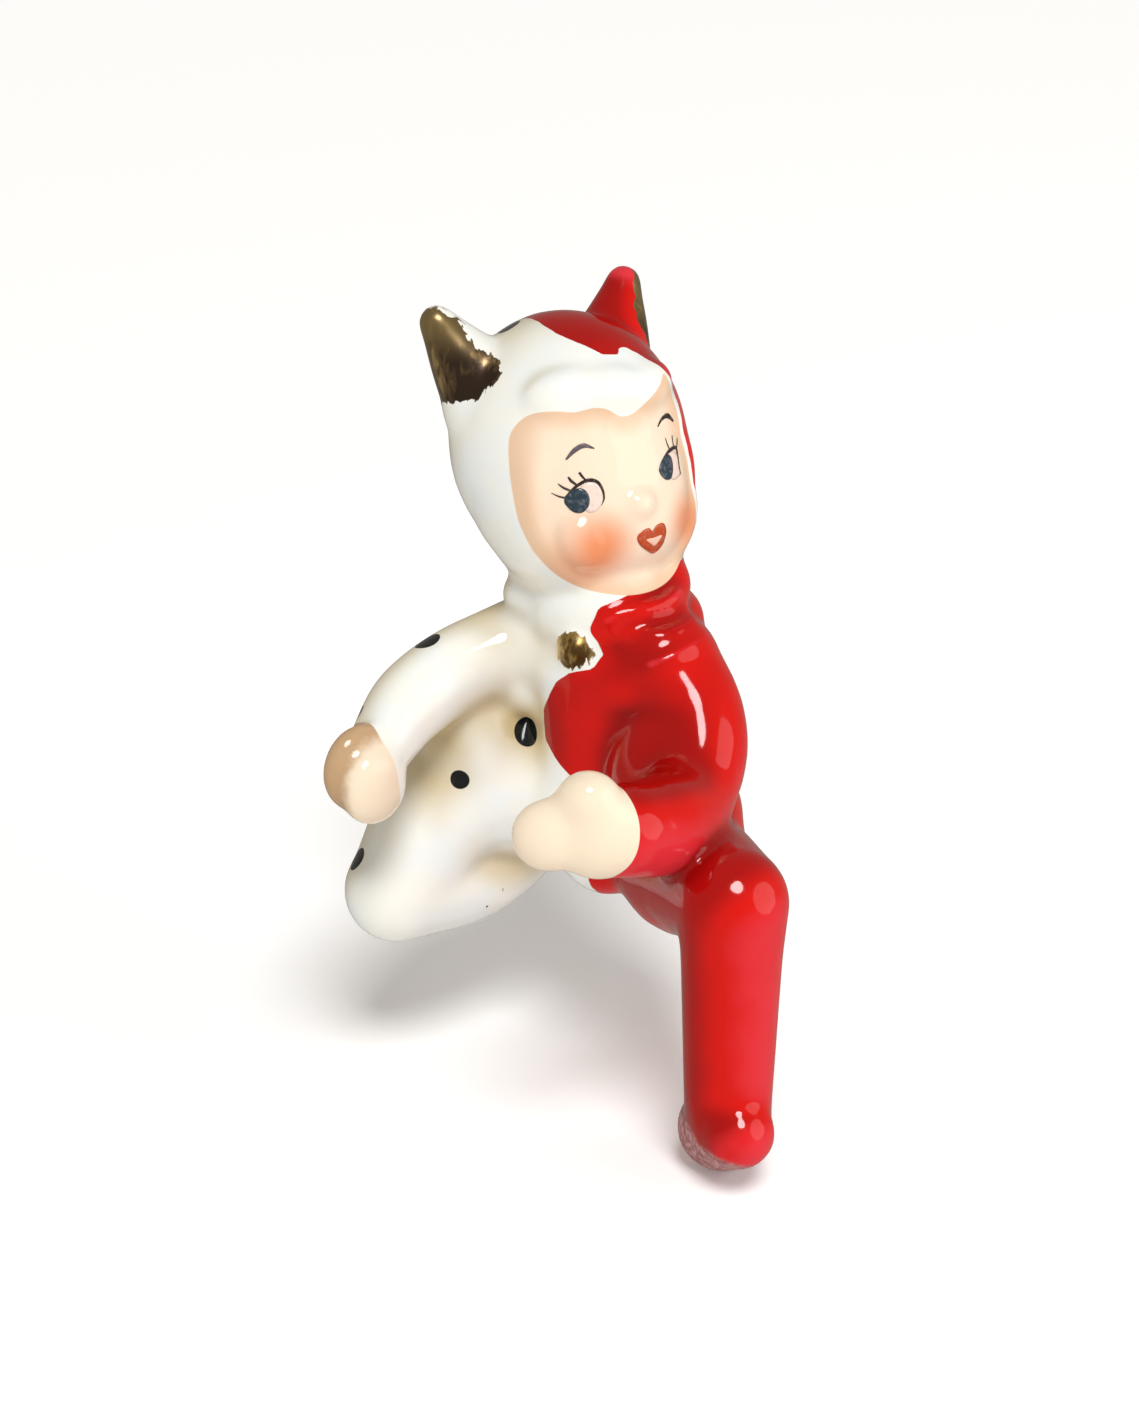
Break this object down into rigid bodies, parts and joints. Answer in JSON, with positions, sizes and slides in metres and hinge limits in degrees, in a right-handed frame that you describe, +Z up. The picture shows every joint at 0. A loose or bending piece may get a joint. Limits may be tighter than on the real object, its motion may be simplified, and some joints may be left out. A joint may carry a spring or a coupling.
{
  "type": "candle hugger figurine",
  "caption": "Glazed ceramic pixie in a horned hood, half white with dots and half red, whose arms and legs close round a taper candle.",
  "frame": {"origin": "on the candle's axis, at the height of the hands", "axes": "+Z up along the candle, -Y the way the chest faces, +X to the figure's left side"},
  "size_m": [0.0589, 0.0537, 0.0919],
  "materials": {
    "glazed_figure": "clear gloss glaze over white porcelain, hand painted in red, black, flesh and gold"
  },
  "bodies": {
    "root": {"figure": "glazed_figure"}
  },
  "joints": []
}
